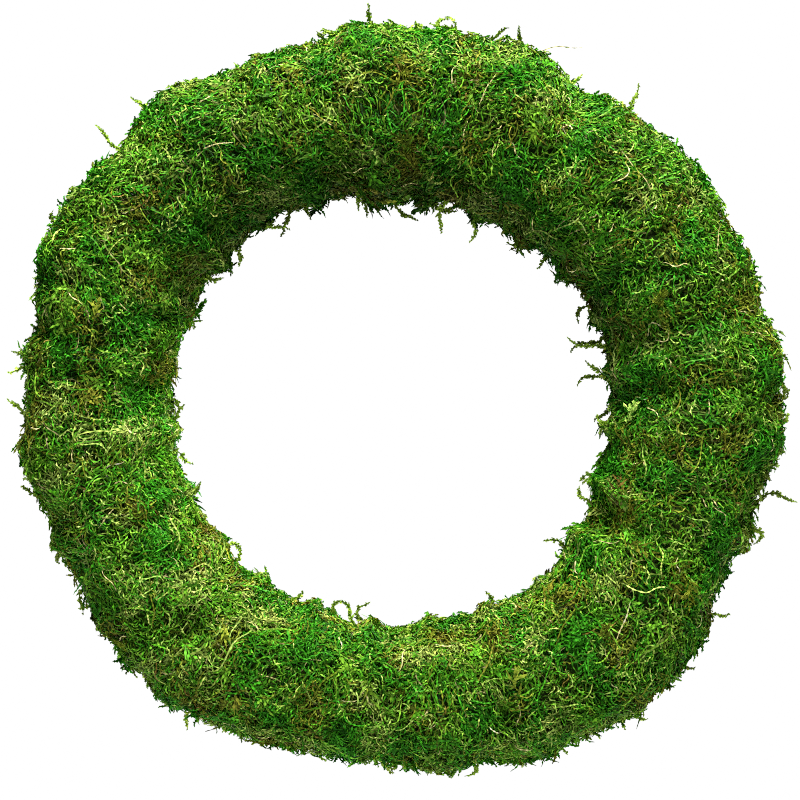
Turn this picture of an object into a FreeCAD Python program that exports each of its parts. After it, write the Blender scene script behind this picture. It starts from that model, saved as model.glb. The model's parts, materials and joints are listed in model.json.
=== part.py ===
import FreeCAD, Part
import math
import os

import Sketcher
from FreeCAD import Placement, Rotation, Vector

# A moss-covered wreath ring, 14 inches across, hanging by the wire loop at the top of its back.
#
# Inside is a raised wreath frame: four round wire rings welded to eight bent cross struts. The
# bays between the struts are packed with wads of moss, pads of sheet moss cover the front and
# both sides, and one long fine wire is wound round moss and frame together.
#
# Millimetres, +Z up. The front faces -Y and the back plane is Y = 0. The origin is the point
# where a nail leaves the wall with its top against the underside of the hanging loop, so the
# ring's centre lies below it. Angles round the ring are counted from +X towards +Z.
#
# Cross-sections of the ring are drawn in two coordinates: the radius from the ring's centre, and
# the depth, measured forwards from the back plane.

DRIVING_DIMENSIONS = {
    # the welded wire frame
    "frame_wire": 3.0,
    "outer_back_radius": 151.0,
    "inner_back_radius": 117.0,
    "outer_front_radius": 141.5,
    "inner_front_radius": 126.5,
    "back_ring_depth": 3.2,
    "strut_rise": 19.8,
    "strut_overhang": 2.2,
    "strut_foot": 3.0,
    "strut_lean": 2.5,
    "strut_bend": 3.5,
    # the wads of packing moss in the bays of the frame
    "wad_angle": 42.8,
    "wad_back_half_width": 13.0,
    "wad_back_height": 8.0,
    "wad_half_width": 19.5,
    "wad_shoulder_low": 14.0,
    "wad_shoulder_high": 30.0,
    "wad_front_half_width": 12.0,
    "wad_front_depth": 43.0,
    "wad_channel_overrun": 2.0,
    "wire_clearance": 0.15,
    # the pads of sheet moss
    "pad_angle": 29.3,
    "pad_gap": 0.6,
    "pad_back_depth": 3.0,
    "pad_back_outer_radius": 161.0,
    "pad_back_inner_radius": 109.5,
    "pad_tuck_outer_radius": 155.0,
    "pad_tuck_inner_radius": 114.0,
    "pad_side_depth": 27.0,
    "pad_front_depth": 62.0,
    "pad_shoulder": 14.0,
    "pad_corner_allowance": 2.5,
    "pad_rounding": 28.0,
    "pad_end_rounding": 5.0,
    # the binding wire
    "binding_wire": 0.8,
    "binding_standoff": 0.75,
    "binding_back_depth": 0.75,
    "binding_back_bend": 2.0,
    "binding_coil_turns": 2.0,
    "binding_coil_gap": 0.4,
    "binding_slot_width": 2.6,
    "binding_slot_depth": 1.5,
    # the hanging loop
    "loop_wire": 1.4,
    "loop_half_width": 7.0,
    "loop_reach": 19.0,
    "loop_depth": 1.2,
    "loop_coil_turns": 2.0,
    "loop_coil_gap": 0.3,
}

# Inner and outer radius of each pad's firm body where its sides bulge most; loose shoots stand a
# few millimetres further out. The hole sits a little to the left of the ring's centre and below
# it, so the moss is thinner on the left and at the bottom.
PAD_EDGES = [
    (99.0, 175.0),
    (98.5, 174.0),
    (95.0, 171.0),
    (95.5, 172.0),
    (103.5, 174.0),
    (107.0, 176.5),
    (109.0, 174.0),
    (108.5, 173.0),
    (106.5, 173.0),
    (106.0, 170.0),
    (107.5, 177.5),
    (101.5, 174.5),
]
STRUT_COUNT = 8
BINDING_TURNS = 24
BINDING_PITCH = 360 / BINDING_TURNS
PAD_PITCH = 360 / len(PAD_EDGES)
# The binding starts and ends at the bottom of the ring, half a pitch beside the middle of a pad.
# The coil it starts from lies a little further round, out of the way of its last turn.
BINDING_START = 277.5
BINDING_COIL_ANGLE = BINDING_START + 1.5
# Steps in which a coil is drawn, and how closely its bends follow the wire it is wound on.
COIL_STEPS = 8
COIL_BEND_SHARE = 0.8
# The loop's crown is bent almost to a half circle.
CROWN_BEND_SHARE = 0.98
# Two lengths, in millimetres, that differ by less than this are the same.
TOLERANCE = 0.01

doc = FreeCAD.newDocument("moss_wreath")
sheet = doc.addObject("Spreadsheet::Sheet", "Dimensions")


def fill_sheet():
    """Write every driving dimension into the sheet, one row each: a name and a plain number."""
    rows = list(DRIVING_DIMENSIONS.items())
    for number, (inner, outer) in enumerate(PAD_EDGES, start=1):
        rows.append(("inner_edge_of_pad_%02d" % number, inner))
        rows.append(("outer_edge_of_pad_%02d" % number, outer))
    for row, (alias, size) in enumerate(rows, start=1):
        sheet.set("A%d" % row, alias)
        sheet.set("B%d" % row, str(size))
        sheet.setAlias("B%d" % row, alias)
    doc.recompute()


def dimension(alias):
    """The number that the sheet holds under a name."""
    return float(sheet.get(alias))


def bound(alias):
    """How an expression refers to a cell of the sheet."""
    return "Dimensions." + alias


def worked_out(expression):
    """The number that an expression on the sheet gives."""
    return float(sheet.evalExpression(expression))


fill_sheet()
# Heights and depths that follow from the driving dimensions. The nail bears on the underside of
# the loop's crown. The struts lie against the front of the back rings, and the front rings lie
# against the front of the struts.
CROWN_RADIUS = "(%s + %s)" % (bound("outer_back_radius"), bound("loop_reach"))
HANG_DROP = "(%s - %s / 2)" % (CROWN_RADIUS, bound("loop_wire"))
FOOT_DEPTH = "(%s + %s)" % (bound("back_ring_depth"), bound("frame_wire"))
BAR_DEPTH = "(%s + %s)" % (FOOT_DEPTH, bound("strut_rise"))
FRONT_RING_DEPTH = "(%s + %s)" % (BAR_DEPTH, bound("frame_wire"))
MIDDLE_RADIUS = "((%s + %s) / 2)" % (bound("outer_back_radius"), bound("inner_back_radius"))


# --- helpers -----------------------------------------------------------------------------------


def in_place(feature, angle=0.0, depth="0", own_rotation=None):
    """Put a sub-part at the ring's centre, turned to its angle round the ring, at its depth."""
    turn = Rotation(Vector(0, 1, 0), -angle)
    if own_rotation is not None:
        turn = turn.multiply(own_rotation)
    feature.Placement = Placement(Vector(0, 0, 0), turn)
    feature.setExpression("Placement.Base.y", "-(%s)" % depth)
    feature.setExpression("Placement.Base.z", "-%s" % HANG_DROP)


def origin_feature(body, role):
    """One of the body's own origin planes or axes."""
    for feature in body.Origin.OriginFeatures:
        if feature.Role == role:
            return feature
    raise ValueError("no origin feature " + role)


def new_sketch(body, name, role, offset=None):
    """A sketch attached to one of its own body's origin planes."""
    sketch = body.newObject("Sketcher::SketchObject", name)
    sketch.AttachmentSupport = [(origin_feature(body, role), "")]
    sketch.MapMode = "FlatFace"
    if offset is not None:
        sketch.AttachmentOffset = offset
    return sketch


def section_sketch(body, name):
    """A sketch of a cross-section of the ring: radius to the right, depth upwards."""
    depth_upwards = Placement(Vector(0, 0, 0), Rotation(Vector(1, 0, 0), 180))
    return new_sketch(body, name, "XY_Plane", depth_upwards)


def place_constraints(sketch, geometry, end, point):
    """Hold one point of a sketch's geometry at its distance across and along from the origin."""
    across = sketch.addConstraint(Sketcher.Constraint("DistanceX", -1, 1, geometry, end, point.x))
    along = sketch.addConstraint(Sketcher.Constraint("DistanceY", -1, 1, geometry, end, point.y))
    return across, along


def draw_outline(sketch, corners, closed=True):
    """Draw lines through corners: each is two expressions and the radius that rounds it, or None."""
    points = []
    for across, along, _ in corners:
        points.append(Vector(worked_out(across), worked_out(along), 0))
    total = len(points)
    lines = total if closed else total - 1
    for index in range(lines):
        sketch.addGeometry(Part.LineSegment(points[index], points[(index + 1) % total]))
    for index in range(lines if closed else lines - 1):
        sketch.addConstraint(Sketcher.Constraint("Coincident", index, 2, (index + 1) % total, 1))
    for index, point in enumerate(points):
        line, end = (index, 1) if index < lines else (index - 1, 2)
        place_constraints(sketch, line, end, point)
    radii = []
    for index, (_, _, radius) in enumerate(corners):
        if radius is not None:
            round_corner(sketch, points, index, worked_out(radius))
            radii.append(radius)
    bind_outline(sketch, corners, radii)


def round_corner(sketch, points, index, radius):
    """Replace one corner of an outline by an arc tangent to its two lines."""
    corner = points[index]
    before = (points[index - 1] + corner) * 0.5
    after = (points[(index + 1) % len(points)] + corner) * 0.5
    line_before = (index - 1) % len(points)
    sketch.fillet(line_before, index, before, after, radius, True, True)


def bind_outline(sketch, corners, radii):
    """Tie the corners' places and the arcs' radii to the sheet, in the order they were drawn."""
    for index, geometry in enumerate(sketch.Geometry):
        if isinstance(geometry, Part.ArcOfCircle):
            sketch.addConstraint(Sketcher.Constraint("Radius", index, geometry.Radius))
    places = iter([expression for corner in corners for expression in corner[:2]])
    radii = iter(radii)
    for index, constraint in enumerate(sketch.Constraints):
        if constraint.Type in ("DistanceX", "DistanceY"):
            sketch.setExpression("Constraints[%d]" % index, next(places))
        elif constraint.Type == "Radius":
            sketch.setExpression("Constraints[%d]" % index, next(radii))


def draw_circle(sketch, across, along, radius):
    """Draw a circle whose centre and radius are given by expressions."""
    centre = Vector(worked_out(across), worked_out(along), 0)
    size = worked_out(radius)
    circle = sketch.addGeometry(Part.Circle(centre, Vector(0, 0, 1), size))
    across_constraint, along_constraint = place_constraints(sketch, circle, 3, centre)
    radius_constraint = sketch.addConstraint(Sketcher.Constraint("Radius", circle, size))
    sketch.setExpression("Constraints[%d]" % across_constraint, across)
    sketch.setExpression("Constraints[%d]" % along_constraint, along)
    sketch.setExpression("Constraints[%d]" % radius_constraint, radius)


def turn_section(body, kind, sketch, angle):
    """Turn a section about the ring's axis, by the same amount to both sides of the sketch."""
    feature = body.newObject("PartDesign::" + kind, body.Name + "_" + kind.lower())
    feature.Profile = sketch
    feature.ReferenceAxis = (sketch, ["V_Axis"])
    feature.Midplane = True
    feature.setExpression("Angle", angle)
    doc.recompute()
    return feature


def on_circle(radius, angle, depth=0.0):
    """A point at a radius and an angle round the ring's axis, at a depth from the back plane."""
    turn = math.radians(angle)
    return Vector(radius * math.cos(turn), -depth, radius * math.sin(turn))


# --- the welded wire frame ---------------------------------------------------------------------


def frame_ring(name, radius, depth):
    """One round ring of the wire frame."""
    ring = doc.addObject("Part::Torus", name)
    ring.Label = name
    ring.setExpression("Radius1", bound(radius))
    ring.setExpression("Radius2", bound("frame_wire") + " / 2")
    in_place(ring, depth=depth, own_rotation=Rotation(Vector(1, 0, 0), 90))
    return ring


def cross_strut(name, angle):
    """A wire bent into a low bridge: two feet across the back rings and a bar under the front."""
    body = doc.addObject("PartDesign::Body", name)
    body.Label = name
    outer, inner = bound("outer_back_radius"), bound("inner_back_radius")
    overhang, foot, bend = bound("strut_overhang"), bound("strut_foot"), bound("strut_bend")
    knee = "%s + %s" % (foot, bound("strut_lean"))
    corners = [
        ("%s + %s" % (outer, overhang), FOOT_DEPTH, None),
        ("%s - %s" % (outer, foot), FOOT_DEPTH, bend),
        ("%s - (%s)" % (outer, knee), BAR_DEPTH, bend),
        ("%s + (%s)" % (inner, knee), BAR_DEPTH, bend),
        ("%s + %s" % (inner, foot), FOOT_DEPTH, bend),
        ("%s - %s" % (inner, overhang), FOOT_DEPTH, None),
    ]
    route = section_sketch(body, name + "_route")
    draw_outline(route, corners, closed=False)
    profile = new_sketch(body, name + "_profile", "YZ_Plane")
    profile.setExpression("AttachmentOffset.Base.z", corners[0][0])
    draw_circle(profile, "-" + FOOT_DEPTH, "0", bound("frame_wire") + " / 2")
    doc.recompute()
    pipe = body.newObject("PartDesign::AdditivePipe", name + "_pipe")
    pipe.Profile = profile
    pipe.Spine = route
    doc.recompute()
    in_place(body, angle)
    return body


# --- the packing moss --------------------------------------------------------------------------


def packing_wad(name, angle):
    """A wad of moss between two struts, with the front rings running through it."""
    body = doc.addObject("PartDesign::Body", name)
    body.Label = name
    half_outline = [
        (bound("wad_back_half_width"), "0"),
        (bound("wad_back_half_width"), bound("wad_back_height")),
        (bound("wad_half_width"), bound("wad_shoulder_low")),
        (bound("wad_half_width"), bound("wad_shoulder_high")),
        (bound("wad_front_half_width"), bound("wad_front_depth")),
    ]
    corners = []
    for half, depth in half_outline:
        corners.append(("%s + %s" % (MIDDLE_RADIUS, half), depth, None))
    for half, depth in reversed(half_outline):
        corners.append(("%s - %s" % (MIDDLE_RADIUS, half), depth, None))
    section = section_sketch(body, name + "_section")
    draw_outline(section, corners)
    turn_section(body, "Revolution", section, bound("wad_angle"))

    channel = "%s / 2 + %s" % (bound("frame_wire"), bound("wire_clearance"))
    channels = section_sketch(body, name + "_channels")
    draw_circle(channels, bound("outer_front_radius"), FRONT_RING_DEPTH, channel)
    draw_circle(channels, bound("inner_front_radius"), FRONT_RING_DEPTH, channel)
    channel_angle = "%s + %s" % (bound("wad_angle"), bound("wad_channel_overrun"))
    turn_section(body, "Groove", channels, channel_angle)

    cut_binding_slots(body, angle)
    in_place(body, angle)
    return body


def crossings_behind(angle):
    """Where the binding starts to cross behind a wad, as angles counted from the wad's middle."""
    half_bay = 180 / STRUT_COUNT
    crossings = []
    for turn in range(BINDING_TURNS):
        start = (BINDING_START + turn * BINDING_PITCH - angle + 180) % 360 - 180
        if -half_bay <= start < half_bay:
            crossings.append(start)
    return sorted(crossings)


def cut_binding_slots(body, angle):
    """Cut a slot for the binding wire into the back of a wad, and repeat it round the axis."""
    crossings = crossings_behind(angle)
    start = on_circle(dimension("pad_back_inner_radius"), crossings[0])
    end = on_circle(dimension("pad_back_outer_radius"), crossings[0] + BINDING_PITCH)
    run = end - start
    middle = (start + end) * 0.5
    heading = math.degrees(math.atan2(run.z, run.x))
    # The sketch's own X runs along the wire and its Y across it.
    along_wire = Placement(Vector(middle.x, middle.z, 0), Rotation(Vector(0, 0, 1), heading))
    slot = new_sketch(body, body.Name + "_slot", "XZ_Plane", along_wire)
    half_length = str(run.Length / 2)
    half_width = bound("binding_slot_width") + " / 2"
    corners = [
        ("-" + half_length, "-" + half_width, None),
        (half_length, "-" + half_width, None),
        (half_length, half_width, None),
        ("-" + half_length, half_width, None),
    ]
    draw_outline(slot, corners)
    doc.recompute()
    uncut = body.Shape.Volume
    pocket = body.newObject("PartDesign::Pocket", body.Name + "_pocket")
    pocket.Profile = slot
    pocket.setExpression("Length", bound("binding_slot_depth"))
    # The solid lies on the side of the sketch that its normal points to.
    pocket.Reversed = True
    doc.recompute()
    one_slot = uncut - body.Shape.Volume
    pattern = body.newObject("PartDesign::PolarPattern", body.Name + "_slots")
    pattern.Originals = [pocket]
    pattern.Axis = (origin_feature(body, "Y_Axis"), [""])
    pattern.Angle = crossings[-1] - crossings[0]
    pattern.Occurrences = len(crossings)
    pattern.Reversed = True
    body.Tip = pattern
    doc.recompute()
    all_slots = uncut - body.Shape.Volume
    cut = (body.Name, one_slot, len(crossings), all_slots)
    print("%s: one slot takes %.1f mm3 and %d take %.1f mm3" % cut)


# --- the pads of sheet moss --------------------------------------------------------------------


def pad_skin(number):
    """The corners of a pad's outer surface, from the back round the outside to the inside."""
    outer = "(%s + %s)" % (bound("outer_edge_of_pad_%02d" % number), bound("pad_corner_allowance"))
    inner = "(%s - %s)" % (bound("inner_edge_of_pad_%02d" % number), bound("pad_corner_allowance"))
    side, front = bound("pad_side_depth"), bound("pad_front_depth")
    shoulder = bound("pad_shoulder")
    return [
        (bound("pad_back_outer_radius"), bound("pad_back_depth")),
        (outer, side),
        ("%s - %s" % (outer, shoulder), front),
        ("%s + %s" % (inner, shoulder), front),
        (inner, side),
        (bound("pad_back_inner_radius"), bound("pad_back_depth")),
    ]


def moss_pad(number, angle):
    """A pad of sheet moss folded over the packing, with its edges tucked beside the back rings."""
    name = "moss_pad_%02d" % number
    body = doc.addObject("PartDesign::Body", name)
    body.Label = name
    skin = pad_skin(number)
    corners = []
    for index, (radius, depth) in enumerate(skin):
        at_back = index in (0, len(skin) - 1)
        corners.append((radius, depth, None if at_back else bound("pad_rounding")))
    gap = bound("pad_gap")
    wad_side = "%s + %s" % (bound("wad_half_width"), gap)
    wad_front = "%s + %s" % (bound("wad_front_half_width"), gap)
    shoulder_depth = "%s + %s / 2" % (bound("wad_shoulder_high"), gap)
    front_depth = "%s + %s" % (bound("wad_front_depth"), gap)
    corners += [
        (bound("pad_tuck_inner_radius"), bound("pad_back_depth"), None),
        ("%s - (%s)" % (MIDDLE_RADIUS, wad_side), shoulder_depth, None),
        ("%s - (%s)" % (MIDDLE_RADIUS, wad_front), front_depth, None),
        ("%s + %s" % (MIDDLE_RADIUS, wad_front), front_depth, None),
        ("%s + %s" % (MIDDLE_RADIUS, wad_side), shoulder_depth, None),
        (bound("pad_tuck_outer_radius"), bound("pad_back_depth"), None),
    ]
    section = section_sketch(body, name + "_section")
    draw_outline(section, corners)
    turned = turn_section(body, "Revolution", section, bound("pad_angle"))
    soften_ends(body, turned)
    in_place(body, angle)
    return body


def soften_ends(body, turned):
    """Round the rim of both cut ends of a pad along its outer surface."""
    half_angle = math.radians(dimension("pad_angle") / 2)
    front = dimension("pad_front_depth")
    rims = []
    for index, edge in enumerate(turned.Shape.Edges, start=1):
        middle = edge.valueAt((edge.FirstParameter + edge.LastParameter) / 2)
        across = math.hypot(middle.x, middle.z)
        at_end = abs(abs(middle.z) - across * math.sin(half_angle)) < TOLERANCE
        if at_end and abs(middle.y + front) < TOLERANCE:
            rims.append("Edge%d" % index)
    fillet = body.newObject("PartDesign::Fillet", body.Name + "_ends")
    fillet.Base = (turned, rims)
    fillet.setExpression("Radius", bound("pad_end_rounding"))
    body.Tip = fillet
    doc.recompute()


# --- the wires that are wound and bent ---------------------------------------------------------


def rounded_route(corners):
    """A path of straight runs joined by tangent arcs: each corner is a point and its radius."""
    edges = []
    reached = corners[0][0]
    for index in range(1, len(corners) - 1):
        corner, radius = corners[index]
        inwards = (corner - corners[index - 1][0]).normalize()
        outwards = (corners[index + 1][0] - corner).normalize()
        turn = inwards.getAngle(outwards)
        setback = radius * math.tan(turn / 2)
        start = corner - inwards * setback
        end = corner + outwards * setback
        towards_centre = (outwards - inwards).normalize()
        middle = corner + towards_centre * (radius / math.cos(turn / 2) - radius)
        edges.append(Part.LineSegment(reached, start).toShape())
        edges.append(Part.Arc(start, middle, end).toShape())
        reached = end
    edges.append(Part.LineSegment(reached, corners[-1][0]).toShape())
    return Part.Wire(edges)


def round_wire(name, corners, thickness):
    """A wire of round section along a route, which follows the ring's angles and depths."""
    path = rounded_route(corners)
    first_run = corners[1][0] - corners[0][0]
    circle = Part.Circle(corners[0][0], first_run, thickness / 2)
    profile = Part.Wire([circle.toShape()])
    shape = path.makePipeShell([profile], True, False)
    expected = math.pi * thickness ** 2 / 4 * path.Length
    print("%s: %.0f mm long, volume %.1f of %.1f mm3" % (name, path.Length, shape.Volume, expected))
    feature = doc.addObject("Part::Feature", name)
    feature.Label = name
    feature.Shape = shape
    in_place(feature)
    return feature


def coil_round_ring(rear_angle, pitch, first_turn, last_turn, wire):
    """Corners of a coil round the outer back ring, which heads outwards wherever it is at the rear.

    Turns are counted from the place where the wire lies behind the ring at rear_angle.
    """
    reach = (dimension("frame_wire") + wire) / 2 + dimension("wire_clearance")
    corner_reach = reach / math.cos(math.pi / COIL_STEPS)
    bend = COIL_BEND_SHARE * reach
    corners = []
    for step in range(int(first_turn * COIL_STEPS), int(last_turn * COIL_STEPS) + 1):
        lean = math.radians(360 * step / COIL_STEPS)
        radius = dimension("outer_back_radius") + corner_reach * math.sin(lean)
        depth = dimension("back_ring_depth") - corner_reach * math.cos(lean)
        angle = rear_angle + pitch * step / COIL_STEPS
        corners.append((on_circle(radius, angle, depth), bend))
    return corners


def crossing_angle(radius):
    """How far round the ring a run behind the frame has come when it reaches a radius."""
    start = on_circle(dimension("pad_back_inner_radius"), 0)
    run = on_circle(dimension("pad_back_outer_radius"), BINDING_PITCH) - start
    half_slope = start.dot(run) / run.dot(run)
    short_of = (start.dot(start) - radius ** 2) / run.dot(run)
    point = start + run * (math.sqrt(half_slope ** 2 - short_of) - half_slope)
    return math.degrees(math.atan2(point.z, point.x))


def outline_outside(points, distance):
    """Corners of a line that keeps a distance outside a chain of points, counter-clockwise."""
    shifted = []
    for start, end in zip(points, points[1:]):
        run = (end - start).normalize()
        outside = Vector(run.y, -run.x, 0) * distance
        shifted.append((start + outside, run))
    corners = [shifted[0][0]]
    for (first, first_run), (second, second_run) in zip(shifted, shifted[1:]):
        cross = first_run.x * second_run.y - first_run.y * second_run.x
        gap = second - first
        along = (gap.x * second_run.y - gap.y * second_run.x) / cross
        corners.append(first + first_run * along)
    last_start, last_run = shifted[-1]
    corners.append(last_start + last_run * (points[-1] - points[-2]).Length)
    return corners


def binding_turn(angle):
    """Corners of one turn of the binding, over a pad from its outer back edge to its inner one."""
    number = int(round(angle / PAD_PITCH)) % len(PAD_EDGES) + 1
    skin = [Vector(worked_out(radius), worked_out(depth), 0) for radius, depth in pad_skin(number)]
    outside = outline_outside(skin, dimension("binding_standoff"))
    back = dimension("binding_back_depth")
    # The first and last runs go on past the pad's edges to the depth of the runs at the back.
    for end, beside in ((0, 1), (-1, -2)):
        run = outside[end] - outside[beside]
        outside[end] = outside[beside] + run * ((back - outside[beside].y) / run.y)
    bend = dimension("pad_rounding") + dimension("binding_standoff")
    back_bend = dimension("binding_back_bend")
    corners = []
    for index, point in enumerate(outside):
        at_back = index in (0, len(outside) - 1)
        corners.append((on_circle(point.x, angle, point.y), back_bend if at_back else bend))
    return corners


def binding_wire():
    """The fine wire: a coil on the frame, its turns round the moss, and a coil to finish."""
    wire = dimension("binding_wire")
    turns = dimension("binding_coil_turns")
    pitch = math.degrees((wire + dimension("binding_coil_gap")) / dimension("outer_back_radius"))
    corners = coil_round_ring(BINDING_COIL_ANGLE, pitch, -turns, 0, wire)
    for turn in range(BINDING_TURNS):
        corners += binding_turn((BINDING_START + turn * BINDING_PITCH) % 360)
    last_run = BINDING_START - BINDING_PITCH + crossing_angle(dimension("outer_back_radius"))
    corners += coil_round_ring(last_run, -pitch, 0, turns, wire)
    return round_wire("binding_wire", corners, wire)


def hanging_loop():
    """A loop of stiffer wire coiled on to the outer back ring at the top, one coil each side."""
    wire = dimension("loop_wire")
    half_width = dimension("loop_half_width")
    ring_radius = dimension("outer_back_radius")
    turns = dimension("loop_coil_turns")
    side_angle = math.degrees(half_width / ring_radius)
    pitch = math.degrees((wire + dimension("loop_coil_gap")) / ring_radius)
    crown_height = worked_out(CROWN_RADIUS)
    crown_bend = CROWN_BEND_SHARE * half_width
    depth = dimension("loop_depth")
    left = coil_round_ring(90 + side_angle, -pitch, -turns, 0, wire)
    right = coil_round_ring(90 - side_angle, pitch, -turns, 0, wire)
    corners = left
    corners.append((Vector(-half_width, -depth, crown_height), crown_bend))
    corners.append((Vector(half_width, -depth, crown_height), crown_bend))
    corners += list(reversed(right))
    return round_wire("hanging_loop", corners, wire)


# --- the assembly ------------------------------------------------------------------------------


def build():
    """Make every sub-part and give them back in a list."""
    parts = [
        frame_ring("outer_back_ring", "outer_back_radius", bound("back_ring_depth")),
        frame_ring("inner_back_ring", "inner_back_radius", bound("back_ring_depth")),
        frame_ring("outer_front_ring", "outer_front_radius", FRONT_RING_DEPTH),
        frame_ring("inner_front_ring", "inner_front_radius", FRONT_RING_DEPTH),
    ]
    bay = 360 / STRUT_COUNT
    for index in range(STRUT_COUNT):
        parts.append(cross_strut("cross_strut_%d" % (index + 1), (index + 0.5) * bay))
    for index in range(STRUT_COUNT):
        parts.append(packing_wad("packing_wad_%d" % (index + 1), index * bay))
    for index in range(len(PAD_EDGES)):
        parts.append(moss_pad(index + 1, index * PAD_PITCH))
    parts.append(binding_wire())
    parts.append(hanging_loop())
    return parts


def check(parts):
    """Stop if any object of the document failed or any sub-part's shape is not sound."""
    doc.recompute()
    for item in doc.Objects:
        if "Invalid" in item.State or "Error" in item.State:
            raise ValueError("%s did not compute: %s" % (item.Name, item.State))
    for part in parts:
        if part.Shape.isNull() or not part.Shape.isValid() or not part.Shape.Solids:
            raise ValueError("%s has no sound solid" % part.Label)


def export(parts):
    """Write each sub-part to its own STEP file, named after its label."""
    os.makedirs("parts", exist_ok=True)
    for part in parts:
        part.Shape.exportStep("parts/%s.step" % part.Label)


sub_parts = build()
check(sub_parts)
export(sub_parts)
print("%d sub-parts written" % len(sub_parts))
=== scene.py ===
import json
import math
from collections import namedtuple

import bpy
import numpy as np
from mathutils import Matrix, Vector
from mathutils.geometry import tessellate_polygon

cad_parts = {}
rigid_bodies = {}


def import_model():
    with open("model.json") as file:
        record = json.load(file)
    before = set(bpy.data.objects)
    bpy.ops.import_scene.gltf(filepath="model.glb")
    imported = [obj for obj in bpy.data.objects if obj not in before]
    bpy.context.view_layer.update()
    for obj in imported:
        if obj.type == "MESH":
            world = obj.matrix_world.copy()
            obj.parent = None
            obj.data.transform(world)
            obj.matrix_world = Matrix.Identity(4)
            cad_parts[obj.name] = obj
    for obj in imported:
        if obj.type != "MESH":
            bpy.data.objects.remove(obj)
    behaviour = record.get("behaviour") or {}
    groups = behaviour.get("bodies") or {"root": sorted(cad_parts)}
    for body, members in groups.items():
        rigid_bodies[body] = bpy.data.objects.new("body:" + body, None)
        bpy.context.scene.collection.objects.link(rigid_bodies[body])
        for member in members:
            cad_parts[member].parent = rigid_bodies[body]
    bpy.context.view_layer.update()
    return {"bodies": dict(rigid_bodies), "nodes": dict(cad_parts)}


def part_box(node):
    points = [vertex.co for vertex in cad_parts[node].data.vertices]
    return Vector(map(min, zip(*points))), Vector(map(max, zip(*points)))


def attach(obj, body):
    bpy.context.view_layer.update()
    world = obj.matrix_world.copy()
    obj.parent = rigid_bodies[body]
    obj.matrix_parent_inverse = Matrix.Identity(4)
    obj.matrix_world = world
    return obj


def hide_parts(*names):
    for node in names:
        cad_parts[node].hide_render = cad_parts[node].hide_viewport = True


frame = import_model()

# The look of a moss-covered wreath ring. Each moss pad becomes a dark lumpy body and some fifteen
# thousand shoots, and each packing wad a body and coarser shoots. The wire parts stay as they are,
# with better materials. The moss code works in millimetres, with places and turns in degrees and
# headings and curls in radians.
#
# A place on the moss is its angle round the ring, from +X towards +Z, and "across", which runs
# from 0 at the outer back edge, over the front, to 1 at the inner back edge.

MM = 0.001
SEED = 20231

# --- places taken from the frame ---

RING_LOW, RING_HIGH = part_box("outer_back_ring")
CENTRE_X = (RING_LOW[0] + RING_HIGH[0]) / 2
CENTRE_Z = (RING_LOW[2] + RING_HIGH[2]) / 2
PAD_NAMES = sorted(name for name in frame["nodes"] if name.startswith("moss_pad_"))
WAD_NAMES = sorted(name for name in frame["nodes"] if name.startswith("packing_wad_"))
PAD_SECTOR = 360 / len(PAD_NAMES)
WAD_SECTOR = 360 / len(WAD_NAMES)
FRONT_DEPTH = -min(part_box(name)[0][1] for name in PAD_NAMES) / MM
BACK_DEPTH = -max(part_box(name)[1][1] for name in PAD_NAMES) / MM
ROOT = list(frame["bodies"])[0]

# --- the shape of the moss ---

# Angle, inner radius and outer radius over the shoots, at the lumps and pinches of the outline.
OUTLINE = np.array([
    (0, 96, 182), (12, 97.5, 179), (27, 97.5, 176), (42, 94, 178), (52, 90.5, 172.5),
    (57, 93, 171.5), (72, 91.5, 176), (85, 91, 174), (95, 89, 180), (105, 98, 172.5),
    (118, 99, 174), (128, 105, 184), (140, 101, 177), (150, 106, 185.5), (165, 105, 178.5),
    (175, 108, 176), (185, 105.5, 180), (200, 107, 175.5), (212, 104, 175.5), (222, 107.5, 179),
    (237, 103, 179.5), (250, 102.5, 172.5), (262, 104, 170), (272, 103, 173), (282, 103.5, 176.5),
    (292, 103, 181), (300, 107, 181.5), (310, 107, 186), (322, 101.5, 181), (332, 98, 175.5),
    (345, 96, 176),
], dtype=float)
# Where the binding pinches the moss: the angle, how far it slants across, its depth and width.
PINCHES = [
    (15, 5, 1.4, 3.2), (57, -6, 1.6, 3.8), (84, 4, 1.4, 3.0), (106, 7, 2.2, 3.4),
    (141, -5, 1.8, 3.0), (172, 6, 2.0, 3.4), (204, -7, 1.8, 3.0), (230, 5, 1.4, 3.2),
    (261, -5, 2.0, 3.8), (287, 6, 1.6, 3.0), (331, -6, 2.0, 3.2), (349, 5, 1.2, 2.8),
]
# Moss bulges over each turn of the binding wire: the turns' angles, the bulge's spread, its height
# in front, and how much higher it is at each rim.
FIRST_TURN, TURN_PITCH = 7.5, 15.0
BULGE_SPREAD, BULGE_HEIGHT = 2.4, 0.6
BULGE_OUTSIDE, BULGE_INSIDE = 1.7, 3.0
OUTLINE_SMOOTHING = 5.5
# How far the shoots stand over the firm moss.
SHOOT_COVER_OUTSIDE, SHOOT_COVER_INSIDE, SHOOT_COVER_FRONT = 5.8, 6.5, 0.3
# The depth at which the moss is widest, and how square it is in front of that and behind it.
SIDE_DEPTH = 27.0
ROUNDNESS, BACK_ROUNDNESS = 2.7, 0.8
# How many degrees round the section the skin goes on behind its widest place.
BACK_LEAN = 70.0
ACROSS_FROM, ACROSS_TO = -BACK_LEAN, 180.0 + BACK_LEAN
# The back edges of the moss, and the hollow that the packing and the frame take up.
EDGE_OUTSIDE, EDGE_INSIDE = 160.5, 110.0
HOLLOW_OUTSIDE, HOLLOW_INSIDE, HOLLOW_FRONT = 155.2, 113.8, 43.8
SKIN_LEAST = 1.4
# The part of the way across over which the lumps fade out at each back edge.
EDGE_FADE = 0.12


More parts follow.
